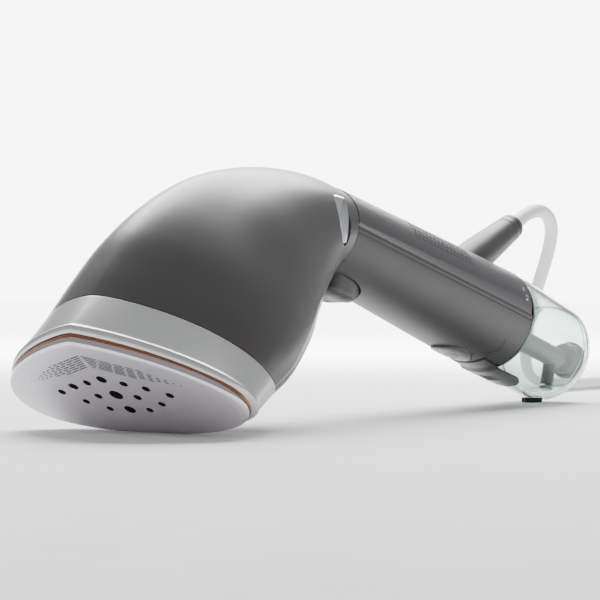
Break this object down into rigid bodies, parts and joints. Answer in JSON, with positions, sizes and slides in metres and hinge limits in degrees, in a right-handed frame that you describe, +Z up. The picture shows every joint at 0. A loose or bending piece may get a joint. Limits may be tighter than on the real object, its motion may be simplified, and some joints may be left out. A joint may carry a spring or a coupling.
{
  "type": "garment steamer",
  "caption": "Hand-held garment steamer with a swivelling head, a shield-shaped hot plate with steam holes, a round handle with a trigger, a clear slide-on water tank and a mains lead.",
  "frame": {"origin": "middle of the steamer's footprint on the table, under the handle, without its lead", "axes": "+X from the steam head to the water tank, +Z up, -Y towards the side with the lock button"},
  "size_m": [0.6162, 0.1335, 0.1003],
  "materials": {
    "satin_grey": "satin",
    "dark_grey": "fine matt",
    "satin_silver": "satin silver coating",
    "chrome": "polished",
    "copper_brown": "copper coloured, satin",
    "soleplate_metal": "satin lilac grey with printed dashes",
    "cast_aluminium": "as cast",
    "steel": "plain",
    "clear_tank": "clear, tinted grey green",
    "black_rubber": "matt",
    "white_lead": "satin",
    "white_plug": "satin",
    "circuit_green": "board with green mask"
  },
  "bodies": {
    "handle": {"top_cover": "satin_grey", "lower_casing": "dark_grey", "swivel_sleeve": "dark_grey", "casing_screw_1": "steel", "casing_screw_2": "steel", "pump": "steel", "pump_bracket": "dark_grey", "inlet_hose": "black_rubber", "outlet_hose": "black_rubber", "circuit_board": "circuit_green", "tank_bulkhead": "dark_grey", "tank_spigot": "dark_grey", "tank_seal": "black_rubber", "trigger_pin": "steel", "trigger_switch": "dark_grey", "power_switch": "dark_grey", "latch_pin": "steel", "mains_cord": "white_lead", "cord_coil": "white_lead", "plug_body": "white_plug", "plug_pin_1": "steel", "plug_pin_2": "steel"},
    "head": {"head_front_shell": "satin_grey", "head_rear_shell": "dark_grey", "bezel_band": "satin_silver", "insulating_ring": "copper_brown", "soleplate": "soleplate_metal", "steam_chamber": "cast_aluminium", "heating_element": "steel", "thermostat": "steel", "thermal_fuse": "steel", "heat_shield": "steel", "steam_pipe": "black_rubber", "head_screw_1": "steel", "head_screw_2": "steel", "swivel_collar": "satin_silver", "retaining_ring": "steel"},
    "lock": {"lock_button": "chrome", "lock_spring": "steel"},
    "trigger": {"trigger": "dark_grey", "trigger_spring": "steel"},
    "power_button": {"power_button": "dark_grey"},
    "tank_latch": {"tank_latch": "dark_grey"},
    "tank": {"tank_shell": "clear_tank", "tank_lid": "dark_grey", "suction_tube": "dark_grey", "suction_filter": "steel", "tank_foot": "black_rubber"},
    "filler_plug": {"filler_plug": "black_rubber"},
    "cord_guide": {"cord_guide": "dark_grey"}
  },
  "joints": [
    {"name": "head_swivel", "type": "hinge", "parent": "handle", "child": "head", "pos_m": [-0.02315, 0, 0.0764], "axis": [0.9632, 0, -0.2689], "range_deg": [-90, 90]},
    {"name": "lock_press", "type": "slide", "parent": "head", "child": "lock", "axis": [0, 1, 0], "range_m": [0, 0.0012], "stiffness_N_per_m": 400},
    {"name": "trigger_pull", "type": "hinge", "parent": "handle", "child": "trigger", "pos_m": [-0.00705, 0, 0.05892], "axis": [0, 1, 0], "range_deg": [0, 5], "stiffness_Nm_per_rad": 1},
    {"name": "power_press", "type": "slide", "parent": "handle", "child": "power_button", "axis": [0.2689, 0, 0.9632], "range_m": [0, 0.0012], "stiffness_N_per_m": 600},
    {"name": "latch_release", "type": "hinge", "parent": "handle", "child": "tank_latch", "pos_m": [0.10226, 0, 0.02353], "axis": [0, 1, 0], "range_deg": [0, 3], "stiffness_Nm_per_rad": 1},
    {"name": "tank_slide", "type": "slide", "parent": "handle", "child": "tank", "axis": [0.9632, 0, -0.2689], "range_m": [0, 0.045]},
    {"name": "filler_pull", "type": "slide", "parent": "tank", "child": "filler_plug", "axis": [0.9632, 0, -0.2689], "range_m": [0, 0.012]},
    {"name": "guide_turn", "type": "hinge", "parent": "handle", "child": "cord_guide", "pos_m": [0.09954, 0, 0.0681], "axis": [0.9198, 0, 0.3923], "range_deg": [-90, 90]}
  ]
}
